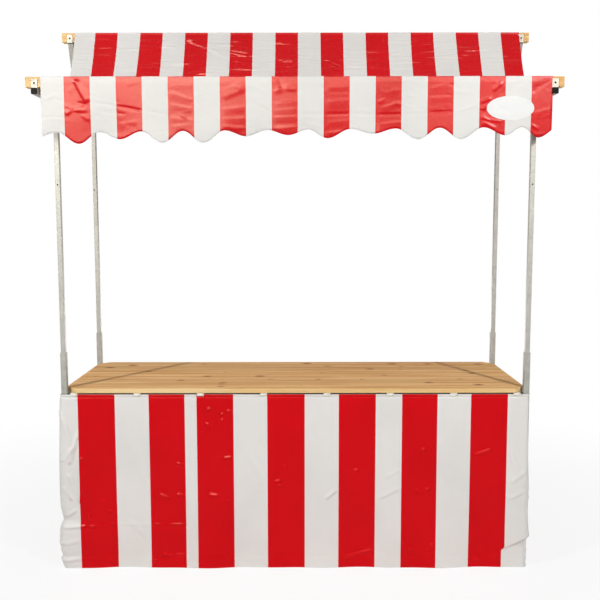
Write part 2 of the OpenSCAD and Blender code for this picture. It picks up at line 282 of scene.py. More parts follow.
panel = bmesh.new()
for i in range(board_count):
    front = low.y + i * board_width + (glue_line / 2 if i else 0)
    rear = low.y + (i + 1) * board_width - (glue_line / 2 if i < board_count - 1 else 0)
    front_cut = corner_cut if i == 0 else 0
    rear_cut = corner_cut if i == board_count - 1 else 0
    outline = [(low.x + front_cut, front), (high.x - front_cut, front)]
    if front_cut:
        outline.append((high.x, front + front_cut))
    if rear_cut:
        outline.append((high.x, rear - rear_cut))
    outline += [(high.x - rear_cut, rear), (low.x + rear_cut, rear)]
    if rear_cut:
        outline.append((low.x, rear - rear_cut))
    if front_cut:
        outline.append((low.x, front + front_cut))
    base = panel.faces.new([panel.verts.new((x, y, low.z)) for x, y in outline])
    grown = bmesh.ops.extrude_face_region(panel, geom=[base])["geom"]
    bmesh.ops.translate(
        panel, verts=[v for v in grown if isinstance(v, bmesh.types.BMVert)], vec=(0, 0, high.z - low.z)
    )
bmesh.ops.recalc_face_normals(panel, faces=panel.faces)
bmesh.ops.bevel(panel, geom=panel.edges[:], offset=eased_edge, segments=2, affect="EDGES", profile=0.5)
# Faces pointing up or down take the oiled pine, and all others take the paler edge pine, which carries
# painted light.
level_face = 0.9
for face in panel.faces:
    face.material_index = 0 if abs(face.normal.z) > level_face else 1
panel_mesh = bpy.data.meshes.new("counter_panel")
panel.to_mesh(panel_mesh)
panel.free()
panel_mesh.materials.append(oiled_pine)
panel_mesh.materials.append(bare_and_lit_edge)
counter = bpy.data.objects.new("counter_panel", panel_mesh)
bpy.context.scene.collection.objects.link(counter)
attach(counter, "root")
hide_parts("counter")

# Posts, heads, roof rails and risers
# Four 20 mm galvanised posts stand in the open legs, and closed sleeves on them carry the roof frame.
# Arms, rails and leaning risers are the same square tube as the base, welded where they meet.

# Pale galvanised steel: smoother than the base, so the posts are lighter, with a soft sheen along them.
pale_zinc = zinc_coat("pale_galvanised_steel", "#a09f9a", "#b4b3ae", 0.01, 0.5, 0.2)
dress(["left_front_post", "right_front_post", "left_rear_post", "right_rear_post"], pale_zinc)
dress(
    [
        "left_front_head", "right_front_head", "left_rear_head", "right_rear_head",
        "left_roof_rail", "right_roof_rail", "left_riser", "right_riser",
    ],
    zinc,
)
roof_rings = []
for side in ("left", "right"):
    rail_low, rail_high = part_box(f"{side}_roof_rail")
    rail_middle, half = (rail_low + rail_high) / 2, (rail_high.z - rail_low.z) / 2
    outward = math.copysign(1, rail_middle.x)
    for end in ("front", "rear"):
        post_low, post_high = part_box(f"{side}_{end}_post")
        post = (post_low + post_high) / 2
        for x in (post.x + outward * half, rail_middle.x - outward * half):
            roof_rings.append(weld((x, post.y, rail_middle.z), half, half, y_axis, z_axis))
    riser_low, riser_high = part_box(f"{side}_riser")
    cradle_low, cradle_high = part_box(f"{side}_rear_cradle")
    half_foot = (cradle_high.y + cradle_low.y) / 2 - riser_low.y
    for y, z in ((riser_high.y - half_foot, riser_low.z), (riser_low.y + half_foot, riser_high.z)):
        roof_rings.append(weld((rail_middle.x, y, z), half, half_foot, x_axis, y_axis))
weld_piece("roof_welds", roof_rings)

# Beam cradles and screws
# Strips of galvanised flat steel, bent to a U and welded on the rails and risers to hold the beams.
# A black phosphated cross-head wood screw goes through each cheek into the beam.

# Spangled zinc: small light and dark crystals side by side, as on galvanised strip.
spangled_zinc = zinc_coat("spangled_zinc", "#85837b", "#cbc9c1", 0.008, 0.5, 0.15)
cradles = ["left_front_cradle", "right_front_cradle", "left_rear_cradle", "right_rear_cradle"]
dress(cradles, spangled_zinc)

# Phosphated steel: a charcoal, slightly oily conversion coat on the screws.
phosphate_grain = 0.0008
phosphate, tree, shader = new_material("phosphated_steel")
place = node(tree, "TexCoord").outputs["Object"]
grain = node(tree, "TexNoise", {"Vector": place, "Scale": 1 / phosphate_grain, "Detail": 3.0})
tone = blend(tree, grain.outputs["Fac"], "#1d1c1b", "#3a3734")
feed(shader, {"Base Color": tone, "Metallic": 0.7, "Roughness": 0.45})


def screw(centre, facing):
    """Points of a pan head with a cross recess, as rings from its middle to the rim and back behind it.

    It faces along Y, forward or backward.
    """
    head, dome, steps, rings = 0.0042, 0.0022, 32, 9
    rim_drop, recess, arm, arm_reach, sunk = 0.85, 0.0014, 0.0006, 0.6, 0.0005
    turn = np.linspace(0, 2 * math.pi, steps, endpoint=False)
    radius = np.append(np.linspace(0, head, rings), [head, 0])[:, None]
    x, z = radius * np.cos(turn), facing * radius * np.sin(turn)
    high = dome * np.sqrt(np.clip(1 - (radius / head) ** 2 * rim_drop, 0, 1)) * np.ones(steps)
    cross = (np.minimum(np.abs(x), np.abs(z)) < arm) & (radius < arm_reach * head)
    high = np.where(cross, high - recess, high)
    high[-2:] = -sunk
    return np.stack([centre[0] + x, centre[1] + facing * high, centre[2] + z], axis=-1)


cradle_thick = 0.003
heads = []
for name in cradles:
    low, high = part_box(name)
    hole = (high.z - low.z + cradle_thick) / 2
    for y, facing in ((low.y, -1), (high.y, 1)):
        heads.append(screw(((low.x + high.x) / 2, y, low.z + hole), facing))
head_size = heads[0].shape[0] * heads[0].shape[1]
head_faces = [grid_faces(*h.shape[:2], first=i * head_size, closed=True) for i, h in enumerate(heads)]
head_points = np.concatenate([h.reshape(-1, 3) for h in heads])
cradle_screws = piece("cradle_screws", head_points, np.concatenate(head_faces), phosphate, smooth=False)

# Roof beams
# Two planed pine battens, 42 mm square with eased edges, lying in the cradles.
# They are bare wood, paler than the counter and warm where they have yellowed.

# Bare pine: straw yellow with faint lines. Boards wider than a beam give each beam a cut of its own.
beam_cut = 0.3
beam_pine = pine("bare_pine", "#edcb92", "#d3a05c", "#8a5a2c", beam_cut, 0.0)
dress(["front_beam", "rear_beam"], beam_pine)

# Roof cloth and valance
# One piece of red and white striped vinyl cloth, laid over both beams so that it sags between them.
# Its rear end hangs behind the rear beam, and its front end hangs down as a valance cut in waves.


def vinyl(name, colour, shade, gloss, mirror, crumpled):
    """Coated cloth: a smooth film on a weave, satin, with fine crinkles that catch small bright lights."""
    crumple, wander, crinkle, grime = 0.075, 0.05, 0.022, 0.3
    made, tree, shader = new_material(name)
    place = node(tree, "TexCoord").outputs["UV"]
    drift = node(tree, "TexNoise", {"Vector": place, "Scale": 1 / crumple, "Detail": 2.0})
    bent = node(
        tree, "VectorMath", {0: drift.outputs["Color"], 1: (wander, wander, 0.0), 2: place},
        operation="MULTIPLY_ADD",
    )
    folds = node(
        tree, "TexVoronoi", {"Vector": bent.outputs[0], "Scale": 1 / crumple}, feature="DISTANCE_TO_EDGE"
    )
    ridges = node(
        tree, "MapRange",
        {"Value": folds.outputs["Distance"], "From Max": 0.12, "To Min": 1.0, "To Max": 0.0},
    )
    fine = node(
        tree, "TexNoise", {"Vector": place, "Scale": 1 / crinkle, "Detail": 3.0, "Roughness": 0.55}
    ).outputs["Fac"]
    where = node(tree, "TexNoise", {"Vector": place, "Scale": 1 / grime, "Detail": 2.0})
    handled = node(tree, "MapRange", {"Value": where.outputs["Fac"], "From Min": 0.42, "From Max": 0.68})
    sharp = node(tree, "Math", {0: ridges.outputs[0], 1: handled.outputs[0]}, operation="MULTIPLY")
    height = node(tree, "Math", {0: sharp.outputs[0], 1: 0.5, 2: fine}, operation="MULTIPLY_ADD")
    relief = node(tree, "Bump", {"Strength": crumpled, "Distance": 0.002, "Height": height.outputs[0]})
    satin = node(tree, "MapRange", {"Value": fine, "To Min": gloss - 0.05, "To Max": gloss + 0.08})
    feed(shader, {
        "Base Color": blend(tree, handled.outputs[0], colour, shade), "Roughness": satin.outputs[0],
        "IOR": 1.53, "Specular IOR Level": mirror, "Normal": relief.outputs[0],
    })
    return made


# White vinyl cloth: a faintly warm white with grey creases and no strong shine.
white_vinyl = vinyl("white_vinyl_cloth", "#dad8d4", "#d5d3cf", 0.27, 0.06, 0.16)
# Red vinyl cloth: a full red that turns to pink where its film mirrors the bright windows in front.
red_vinyl = vinyl("red_vinyl_cloth", "#c9020f", "#c2010c", 0.25, 0.17, 0.14)


def stripe_columns(edges, steps):
    """Places across a striped cloth, a step apart and one on every edge, and the stripe of each strip."""
    counts = [max(2, round((b - a) / step)) for a, b, step in zip(edges, edges[1:], steps)]
    places = [np.linspace(a, b, n, endpoint=False) for a, b, n in zip(edges, edges[1:], counts)]
    return np.append(np.concatenate(places), edges[-1]), np.repeat(np.arange(len(counts)), counts)


def ramp(value, start, end):
    """Goes from 0 to 1 between two places, and stays level outside them."""
    return np.clip((value - start) / (end - start), 0, 1)


def creases(across, down, lines):
    """Height of a cloth's creases. Each line is (across, down) at both ends, width and height, in mm.

    The width is one number, or one for the side above the line and one for the side below it.
    """
    longest_end, end_share = 20, 0.3
    height = np.zeros(np.shape(across))
    for a0, d0, a1, d1, width, rise in lines:
        above, below = np.broadcast_to(width, 2)
        length = math.hypot(a1 - a0, d1 - d0)
        along = ((across - a0) * (a1 - a0) + (down - d0) * (d1 - d0)) / length
        aside = ((across - a0) * (d1 - d0) - (down - d0) * (a1 - a0)) / length
        ends = ramp(np.minimum(along, length - along), 0, min(longest_end, end_share * length))
        flank = np.clip(1 - np.abs(aside) / np.where(aside > 0, above, below), 0, 1)
        height += rise * ends * ends * (3 - 2 * ends) * flank
    return height


def scattered(seed, count, across, down, length, slant, width, rise):
    """Short creases scattered over a cloth, as creases() takes them.

    All but the seed and the count are ranges from least to most, in mm and degrees.
    """
    chance = np.random.default_rng(seed)
    made = []
    for _ in range(count):
        a, d = chance.uniform(*across), chance.uniform(*down)
        reach, turn = chance.uniform(*length) / 2, math.radians(chance.uniform(*slant))
        size = chance.uniform(*rise) * chance.choice([-1, 1])
        da, dd = reach * math.cos(turn), reach * math.sin(turn)
        made.append((a - da, d - dd, a + da, d + dd, chance.uniform(*width), size))
    return made


mm = 0.001
cloth_low, cloth_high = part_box("roof_cloth")
rear_low, rear_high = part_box("rear_beam")
front_low, front_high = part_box("front_beam")
lift, edge_round = 1.3 * mm, 2 * mm
rear_flap, rear_drop = 120 * mm, 10 * mm

# Path of the cloth in the YZ plane: up behind the rear beam, over it, down the sag, over the front beam
turn = np.linspace(0, math.pi / 2, 6)
over = edge_round + lift
rear_edge = np.stack([np.cos(turn), np.sin(turn)], axis=1) * over
behind = [(rear_high.y + lift, rear_high.z - rear_flap)]
rear_back = rear_edge + (rear_high.y - edge_round, rear_high.z - edge_round)
rear_front = rear_edge[:, ::-1] * (-1, 1) + (rear_low.y + edge_round, rear_high.z - edge_round)
start = np.array([rear_low.y - lift, rear_high.z - rear_drop])
end = np.array([front_high.y, front_high.z + lift])
fall = start[1] - end[1]
belly = start[1] - fall / 2 - (cloth_low.z + lift)
sag = (belly + math.sqrt(belly**2 - fall**2 / 4)) / 2
part = np.linspace(0, 1, 60)[:, None]
hollow = start + part * (end - start) - np.hstack([0 * part, 4 * sag * part * (1 - part)])
front_edge = rear_edge[:, ::-1] * (-1, 1) + (front_low.y + edge_round, front_high.z - edge_round)
path = np.concatenate([behind, rear_back, rear_front, hollow, front_edge])
reach = np.concatenate([[0], np.cumsum(np.linalg.norm(np.diff(path, axis=0), axis=1))])
rear_points = len(behind) + len(rear_back) + len(rear_front)
rear_top = reach[len(behind) + len(rear_back) // 2]
sag_from = reach[rear_points]
sag_to = reach[rear_points + len(hollow) - 1]
fold_line = reach[-1]

# The stripes are of one width, but for the cut ones at both ends, and the cloth lies a little to the right
stripe, stripe_count, first_edge, to_right, step = 106 * mm, 20, -942 * mm, 8 * mm, 5.5 * mm
inner_edges = first_edge + stripe * np.arange(stripe_count - 1)
stripe_edges = [cloth_low.x + to_right, *inner_edges, cloth_high.x + to_right]
across, strips = stripe_columns(stripe_edges, [step] * stripe_count)

# Waves of the valance: where each lobe hangs and how deep, below a line that rises to the right
lobes = np.array([-1065, -887, -718, -543, -375, -200, -26, 135, 322, 506, 681, 865, 1000, 1170]) * mm
lobe_depth = np.array([20, 47, 30, 47, 49, 24, 22, 36, 20, 45, 46, 33, 43, 20]) * mm
notch_left, notch_right = 222 * mm, 200 * mm
turns = np.interp(across, lobes, np.arange(len(lobes)))
nearest = np.round(turns).astype(int)
notch = np.interp(across, [cloth_low.x, cloth_high.x], [notch_left, notch_right])
drop = notch + lobe_depth[nearest] * (0.5 + 0.5 * np.cos(2 * math.pi * turns))

# Rows lie closest on the part of the sag that shows above the front beam, and on the valance
bends = np.concatenate([reach[:rear_points], reach[-len(front_edge) :]])
in_view = sag_from + 235 * mm
roof_rows = np.unique(np.concatenate([
    np.linspace(0, sag_from, 14), np.linspace(sag_from, in_view, 94), np.linspace(in_view, fold_line, 36),
    bends,
]))[:-1]
valance_rows = np.append(np.linspace(0, 0.97, 70), [0.985, 1.0])

# Creases on the valance as (across, down) from its top edge: a turned-back fold at the left, level lines
# from folding, bright above and dark below, a valley from storage at half height and pulls at the patch
valance_creases = [
    (-904, 4, -848, 108, (26, 8), 4.5), (-890, 98, -850, 114, (6, 8), -2.5),
    (-937, 112, -906, 134, (16, 6), 2.5), (-908, 134, -846, 137, (24, 6), 3.1),
    (-937, 154, -910, 130, (18, 8), 3.1), (-876, 150, -836, 175, (12, 8), 1.9),
    (-925, 62, -895, 30, (12, 16), 1.0), (-1030, 92, -965, 66, 11, 1.2),
    (-834, 98, -730, 114, (8, 10), -0.9), (-730, 114, -620, 135, (7, 9), -2.6),
    (-728, 144, -690, 148, (6, 8), -1.3), (-620, 135, -520, 148, (8, 10), -0.7),
    (-690, 32, -650, 22, 12, 0.9), (-728, 190, -630, 176, (10, 26), 0.9),
    (-515, 58, -408, 98, (10, 30), 1.5), (-515, 108, -408, 128, (8, 24), 1.2),
    (-472, 150, -438, 166, 8, 2.6), (-515, 160, -408, 174, (8, 26), 1.4),
    (-515, 200, -412, 190, (9, 22), 1.1), (-515, 30, -410, 36, (14, 20), 0.8),
    (-304, 84, -196, 44, (38, 18), 1.7), (-304, 129, -196, 119, (9, 30), 1.6),
    (-304, 167, -196, 164, (7, 28), 1.4), (-304, 196, -196, 206, (10, 20), 1.5),
    (-250, 30, -215, 50, (10, 12), 1.2), (-68, 0, -56, 46, (10, 8), -1.8),
    (-90, 62, -48, 42, (10, 20), 2.0), (-52, 46, 15, 50, (30, 14), 2.2), (-90, 107, 15, 98, (8, 30), 1.6),
    (-90, 136, 15, 127, (9, 22), 1.1), (-90, 161, 15, 159, (6, 26), 1.4), (-90, 206, 15, 199, (9, 24), 1.5),
    (123, 44, 229, 40, (28, 20), 1.7), (123, 98, 229, 91, (8, 36), 1.7), (15, 151, 123, 150, (12, 8), -0.7),
    (123, 150, 229, 149, (12, 8), -1.9), (123, 226, 205, 218, (8, 12), 1.4),
    (123, 184, 229, 176, (12, 24), 1.0), (229, 149, 338, 151, (12, 8), -0.7),
    (336, 105, 372, 84, (8, 16), 1.5), (349, 127, 440, 98, (9, 24), 1.4),
    (336, 152, 442, 149, (10, 7), -1.9), (343, 192, 440, 182, (9, 20), 1.1),
    (340, 60, 440, 52, (12, 30), 1.1), (546, 84, 652, 80, (8, 24), 0.9),
    (546, 143, 652, 140, (10, 7), -2.0), (546, 46, 652, 40, (14, 30), 0.9), (652, 143, 752, 110, 9, 0.9),
    (442, 150, 546, 146, (10, 8), -0.6), (803, 62, 850, 18, (14, 10), 2.2),
    (757, 102, 806, 82, (8, 12), 2.1), (757, 132, 792, 112, (8, 10), 2.1),
    (757, 157, 800, 177, (8, 10), 2.1), (788, 172, 852, 179, (6, 10), 1.7),
    (763, 178, 832, 214, (12, 10), 2.0), (964, 70, 1052, 8, (28, 7), -1.5), (968, 56, 1004, 30, 9, -0.8),
    (968, 190, 1000, 212, (8, 10), 2.0), (966, 150, 1052, 128, (12, 30), 1.0),
    (958, 236, 1064, 232, (190, 12), 7.0), (330, 222, 450, 220, (150, 12), 4.0),
    *scattered(4, 110, (-1030, 1050), (12, 230), (30, 110), (-30, 30), (7, 13), (0.15, 0.6)),
]
# Creases on the sag as (across, along) from the rear beam: mostly level, as the cloth was rolled up
roof_creases = [
    (-512, 15, -474, 38, (8, 10), 4.5), (-522, 38, -424, 77, (12, 9), -5.5),
    (-426, 80, -312, 142, (10, 8), -4.5), (-416, 66, -330, 112, 7, 2.5), (-312, 84, -214, 98, (9, 7), 4.8),
    (-312, 96, -214, 122, (9, 7), 4.8), (-300, 150, -226, 158, 7, -3.0), (-195, 14, -100, 30, 7, -2.8),
    (-98, 128, 10, 164, 8, 3.6), (-72, 154, 10, 146, (9, 7), 4.6), (10, 136, 122, 142, 7, -2.8),
    (122, 138, 222, 184, (9, 11), -4.0), (124, 146, 222, 196, 9, 3.2), (232, 172, 300, 190, 8, -3.0),
    (-640, 62, -560, 74, 8, 2.6), (-660, 44, -585, 50, 8, 2.2), (-420, 34, -320, 46, 8, -2.2),
    (-110, 52, -10, 55, 7, -2.2),
    *scattered(9, 300, (-1030, 1050), (8, 230), (60, 260), (-6, 6), (5, 8), (0.4, 1.8)),
    *scattered(10, 60, (-1030, 1050), (230, 620), (60, 260), (-9, 9), (8, 13), (0.6, 2.0)),
]


def roof_cloth_points(x, length):
    """Points of the cloth at places across it and lengths along it from the rear hem, in metres."""
    hanging = np.clip(length - fold_line, 0, None)
    y = np.interp(length, reach, path[:, 0])
    z = np.interp(length, reach, path[:, 1]) - hanging
    nearby = 2 * mm
    ahead, back = length + nearby, length - nearby
    slope_y = np.interp(ahead, reach, path[:, 0]) - np.interp(back, reach, path[:, 0])
    slope_z = np.interp(ahead, reach, path[:, 1]) - np.interp(back, reach, path[:, 1])
    slope_z = np.where(hanging > 0, -1.0, slope_z)
    slope_y = np.where(hanging > 0, 0.0, slope_y)
    steep = np.hypot(slope_y, slope_z)
    a, d, s = x / mm, hanging / mm, (length - sag_from) / mm

    # The valance lies on the beam at its top, sways below it and curls back at its cut edge
    stand_off, curl, curl_back = 1.5, 7, 2.5
    hem = np.interp(x, across, drop) / mm
    sway = 3.2 * np.sin(a / 92 + 0.6) + 2.4 * np.sin(a / 47 + 2.1) + 2 * np.sin(a / 150 + d / 60)
    rise = ramp(d, 40, 220) * sway + ramp(d, 0, 20) * (creases(a, d, valance_creases) + stand_off)
    rise = rise - curl_back * ramp(d, hem - curl, hem) ** 2

    # The sag is creased all over and looser towards the front, and the rear flap hangs in waves
    in_sag = ramp(s, 0, 25) * ramp((sag_to - length) / mm, 0, 60)
    loose = ramp(s, 0, 260) * (5 * np.sin(a / 110 + s / 140) + 4 * np.sin(a / 61 + 1.3))
    rise = rise + in_sag * (creases(a, s, roof_creases) + loose)
    in_flap = ramp((rear_top - length) / mm, 50, 110)
    rise = (rise + in_flap * (4 * np.sin(a / 75) + 3)) * mm
    return np.stack([x, y + rise * slope_z / steep, z - rise * slope_y / steep], axis=-1)


lengths = np.concatenate([
    np.repeat(roof_rows[:, None], len(across), axis=1), fold_line + valance_rows[:, None] * drop[None, :]
])
spread_x = np.broadcast_to(across, lengths.shape)
cloth_faces = grid_faces(*lengths.shape)[:, ::-1]
roof_cloth = piece(
    "striped_roof_cloth", roof_cloth_points(spread_x, lengths), cloth_faces, white_vinyl, red_vinyl
)


def lay_flat(made, u, v, stripes, rows):
    """Gives a cloth its flat cut as UVs in metres, and its stripes' materials."""
    flat = np.stack([u.ravel(), v.ravel()], axis=1)
    corners = np.zeros(len(made.data.loops), np.int32)
    made.data.loops.foreach_get("vertex_index", corners)
    layer = made.data.uv_layers.new(name="flat_cut")
    layer.data.foreach_set("uv", flat[corners].ravel().astype(np.float32))
    made.data.polygons.foreach_set("material_index", np.tile(stripes % 2, rows).astype(np.int32))


lay_flat(roof_cloth, spread_x, lengths, strips, len(lengths) - 1)
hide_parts("roof_cloth", "front_valance")

# Oval patch
# A plain oval of white vinyl, stuck on the valance near its right end and left bare.
# It follows every crease of the cloth below it.
patch_x, patch_drop = 881 * mm, 126 * mm
patch_half_x, patch_half_z, patch_thick = 97 * mm, 49 * mm, 0.9 * mm

# White vinyl patch: brighter and smoother than the cloth, so the oval stands out on the stripes.
patch_vinyl = vinyl("white_vinyl_patch", "#e3e3e1", "#e0e0de", 0.45, 0.06, 0.1)
ring = np.linspace(0, 1, 14)[:, None]
turn = np.linspace(0, 2 * math.pi, 96, endpoint=False)[None, :]
oval_x = patch_x + ring * patch_half_x * np.cos(turn)
oval_down = patch_drop + ring * patch_half_z * np.sin(turn)
oval = roof_cloth_points(oval_x, fold_line + oval_down)
oval[..., 1] -= patch_thick
patch = piece("valance_patch", oval, grid_faces(*oval.shape[:2], closed=True), patch_vinyl)
patch_uv = patch.data.uv_layers.new(name="flat_cut")
for corner in patch.data.loops:
    r, c = divmod(corner.vertex_index, oval.shape[1])
    patch_uv.data[corner.index].uv = (oval_x[r, c], oval_down[r, c])

# Skirt
# One long striped vinyl cloth, round the front and both sides of the base, with a hem at top and bottom.
# It hangs from loops on the front rail, is tied to the rear legs at its ends and just clears the floor.

# Smooth white vinyl cloth: a clean, even white.
glossy_white = vinyl("smooth_white_vinyl_cloth", "#ebe9e5", "#e6e4e0", 0.25, 0.04, 0.06)
# Smooth red vinyl cloth: a deep, even red on which only dents catch the light.
glossy_red = vinyl("smooth_red_vinyl_cloth", "#d8010f", "#d2010d", 0.22, 0.09, 0.03)
skirt_low, skirt_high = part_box("front_skirt")
skirt_stripes = np.array([
    82, 159, 147, 159, 147, 160, 147, 155, 52, 159, 147, 162,
    148, 160, 114, 153, 145, 159, 147, 159, 147, 159, 105,
]) * mm
skirt_start = -1636 * mm
skirt_edges = np.append(skirt_start, skirt_start + np.cumsum(skirt_stripes))
front_step, side_step = 5 * mm, 20 * mm
on_front = np.abs(skirt_edges[:-1] + skirt_edges[1:]) / 2 < skirt_high.x
around, strips = stripe_columns(skirt_edges, np.where(on_front, front_step, side_step))
hem_drop, top_hem = 6 * mm, 28 * mm
skirt_rows = np.concatenate([
    np.linspace(skirt_low.z - hem_drop, skirt_high.z - top_hem, 178, endpoint=False),
    np.linspace(skirt_high.z - top_hem, skirt_high.z, 20),
])
corner_round, half_thick = 16 * mm, 1 * mm
half_front = skirt_high.x - half_thick
front_y = skirt_low.y + half_thick

# How far the skirt stands out from the left and the right leg, as (down from its top, out), in mm
left_leg_line = (
    [0, 28, 161, 296, 431, 499, 531, 550, 558, 568, 585, 613, 660, 697, 720, 742, 761, 785],
    [3, 8, 12, 16, 17, 15, 9, 5, 1, 6, 15, 22, 21, 18, 10, 14, 10, 2],
)
right_leg_line = ([0, 200, 300, 390, 430, 520, 800], [0, 0, 1, 5, 6, 1, 0])

# Fold at the right leg that climbs to the right: a place on it, (across, down), and its slope
fold_across, fold_down, fold_climb = 905, 700, 0.52
# Hems as (down, out), and where the one at the bottom starts
top_hem_form, bottom_hem = ([0, 3, 13, 17], [0.6, 1.8, -1.4, 0]), 728

# Creases as (across, down) at both ends, width and height: a fold from storage that runs in from the left
# leg, wrinkles along that leg, pulls on the white stripes, and small dents that catch the light
skirt_creases = [
    (-1016, 588, -908, 588, (13, 8), 7.2), (-912, 588, -866, 588, (12, 8), 5.6),
    (-816, 583, -784, 582, (12, 8), 6.0), (-790, 583, -626, 582, 9, 1.5),
    (-628, 580, -586, 584, (12, 8), 6.2), (-560, 582, -480, 582, (12, 8), 6.6),
    (-944, 286, -922, 284, (11, 8), 5.5), (-850, 474, -828, 468, (11, 8), 5.0),
    (-838, 490, -816, 482, (11, 8), 5.2), (-822, 526, -800, 518, (11, 8), 5.4),
    (-914, 540, -892, 534, (11, 8), 5.2), (-522, 303, -490, 316, (12, 9), 6.6),
    (-604, 440, -546, 466, (13, 9), 7.8), (-526, 440, -486, 456, (13, 9), 7.6),
    (-590, 716, -556, 722, (12, 8), 6.0), (-562, 728, -534, 718, (12, 8), 6.0),
    (-538, 720, -482, 718, (12, 8), 6.4), (-630, 742, -606, 748, (11, 8), 6.0),
    (-386, 70, -364, 62, (12, 8), 6.0), (-300, 68, -276, 84, (12, 8), 6.0),
    (-326, 92, -308, 86, (11, 8), 5.6), (-326, 118, -310, 112, (11, 8), 5.6),
    (-394, 128, -370, 138, (12, 8), 6.0), (-386, 150, -370, 146, (11, 8), 5.6),
    (-320, 284, -270, 278, (12, 9), 7.0), (-386, 446, -328, 451, (14, 9), 8.2),
    (-300, 470, -276, 484, (12, 8), 5.6), (-96, 392, -58, 380, (12, 9), 6.2),
    (-88, 404, -56, 408, (11, 8), 5.6), (-54, 324, -34, 318, (11, 8), 5.2),
    (248, 344, 280, 332, (12, 9), 6.6), (204, 736, 350, 697, (12, 9), 6.4),
    (774, 272, 858, 244, (11, 8), 6.2), (544, 252, 568, 242, (12, 8), 6.2),
    (522, 424, 544, 432, (11, 8), 6.0), (530, 446, 552, 438, (11, 8), 6.0),
    (562, 432, 590, 416, (12, 9), 6.4), (584, 676, 612, 670, (12, 8), 6.2),
    (486, 702, 516, 692, (11, 8), 5.6), (570, 702, 592, 694, (11, 8), 5.6),
    (774, 724, 812, 730, (11, 8), 6.0), (784, 748, 816, 742, (11, 8), 5.6),
    (360, 466, 452, 420, (16, 11), 5.0), (124, 470, 184, 420, (13, 9), 6.0), (370, 382, 457, 333, 14, 3),
    (930, 400, 1005, 340, (16, 12), 5), (925, 470, 1000, 430, (16, 12), 5), (930, 240, 1000, 420, 16, 4),
    (-1015, 60, -970, 230, 14, 6), (-946, 171, -986, 313, (14, 12), 8),
    (-1012, 300, -958, 222, (14, 12), 7), (-990, 343, -936, 492, (14, 12), 8),
    (-1010, 400, -972, 470, (13, 10), 7), (-1005, 545, -950, 505, (13, 10), 6),
    (-1040, 665, -945, 650, 13, 4), (-1040, 742, -940, 730, 13, 5), (-740, 560, -650, 640, 18, 2),
    (-250, 200, -140, 380, 20, 2), (60, 90, 180, 330, 20, 2), (640, 320, 740, 560, 20, 2),
    (-760, 90, -650, 420, 20, 2),
    *scattered(21, 70, (-980, 980), (40, 730), (25, 70), (-60, 60), (7, 13), (0.2, 0.8)),
    *scattered(22, 40, (-1620, -1040), (20, 740), (60, 200), (-60, 60), (7, 13), (0.8, 2.5)),
    *scattered(23, 40, (1040, 1620), (20, 740), (60, 200), (-60, 60), (7, 13), (0.8, 2.5)),
]


def eased(places, table):
    """Reads a table of (places, values) with its corners rounded over about 15 mm."""
    bell_half, bell_width = 20, 8
    fine = np.arange(-100, 900)
    bell = np.exp(-(np.arange(-bell_half, bell_half + 1) / bell_width) ** 2)
    return np.interp(places, fine, np.convolve(np.interp(fine, *table), bell / bell.sum(), "same"))


def skirt_points(s, z):
    """Points of the skirt at lengths along it from the middle of the front, and heights, in metres."""
    side, length = np.sign(s), np.abs(s)
    straight = half_front - corner_round
    bend = np.clip((length - straight) / corner_round, 0, math.pi / 2)
    past = np.clip(length - straight - corner_round * math.pi / 2, 0, None)
    x = np.minimum(length, straight) + corner_round * np.sin(bend)
    y = front_y + corner_round * (1 - np.cos(bend)) + past
    a, d = s / mm, (skirt_high.z - z) / mm

    # It hangs in shallow waves, which grow downwards and end at the legs
    from_leg = (length - half_front) / mm
    away = ramp(np.abs(from_leg), 0, 70)
    sway = 4 * np.sin(a / 83 + 0.6) + 3 * np.sin(a / 41 + 2.4 + d / 400) + 2.5 * np.sin(a / 140 + d / 190)
    rise = ramp(d, 60, 680) * (sway * away + 4)

    # It bulges round the left leg, and stands out over the fold at the right one and is tucked in below it
    sharp, bulge, fade, tuck = 2.5, 13, 80, 13 * mm
    fold = fold_down - fold_climb * (a - fold_across)
    over_fold = 1 / (1 + np.exp((d - fold) / sharp))
    left_out = np.exp(-((from_leg / 60) ** 2)) * eased(d, left_leg_line)
    right_out = (eased(d, right_leg_line) + bulge * np.exp(-np.clip(fold - d, 0, None) / fade)) * over_fold
    beside_fold = ramp(a, 895, 965) * ramp(a, 1180, 1060)
    rise = rise + np.where(side < 0, left_out, beside_fold * right_out)
    x = x - tuck * (1 - over_fold) * ramp(a, 840, 890) * ramp(a, 985, 925)

    # Creases start below the top hem, and next to a leg the cloth never sinks into it
    rise = rise + ramp(d, bottom_hem, bottom_hem + 4) + ramp(d, 20, 50) * creases(a, d, skirt_creases)
    rise = np.where(away < 0.6, np.maximum(rise, 0.2), rise)
    rise = (rise + np.interp(d, *top_hem_form)) * mm
    return np.stack([side * (x + rise * np.sin(bend)), y - rise * np.cos(bend), z], axis=-1)


spread_s, spread_z = np.meshgrid(around, skirt_rows)
skirt_cloth = piece(
    "striped_skirt", skirt_points(spread_s, spread_z), grid_faces(*spread_s.shape), glossy_white, glossy_red
)
lay_flat(skirt_cloth, spread_s, spread_z, strips, len(skirt_rows) - 1)
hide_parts("front_skirt", "left_skirt", "right_skirt")

# Loops and ties
# Bands of cream polypropylene webbing, sewn to the skirt: eight on the front rail, three on each rear leg.
# They are a little wider than the tube, so they lie loosely round it.

# Polypropylene webbing: coarse ribs across the band and a dry, matt surface.
rib = 0.0022
webbing, tree, shader = new_material("cream_webbing")
place = node(tree, "TexCoord").outputs["Object"]
ribs = node(
    tree, "TexWave", {"Vector": place, "Scale": 2 * math.pi / 20 / rib, "Distortion": 0.4},
    bands_direction="DIAGONAL",
).outputs["Fac"]
relief = node(tree, "Bump", {"Strength": 0.5, "Distance": 0.0006, "Height": ribs})
feed(shader, {
    "Base Color": blend(tree, ribs, "#ece7d8", "#fdf9ee"), "Roughness": 0.75, "Normal": relief.outputs[0],
})

band_width, band_thick, band_room = 30 * mm, 1.3 * mm, 0.7 * mm


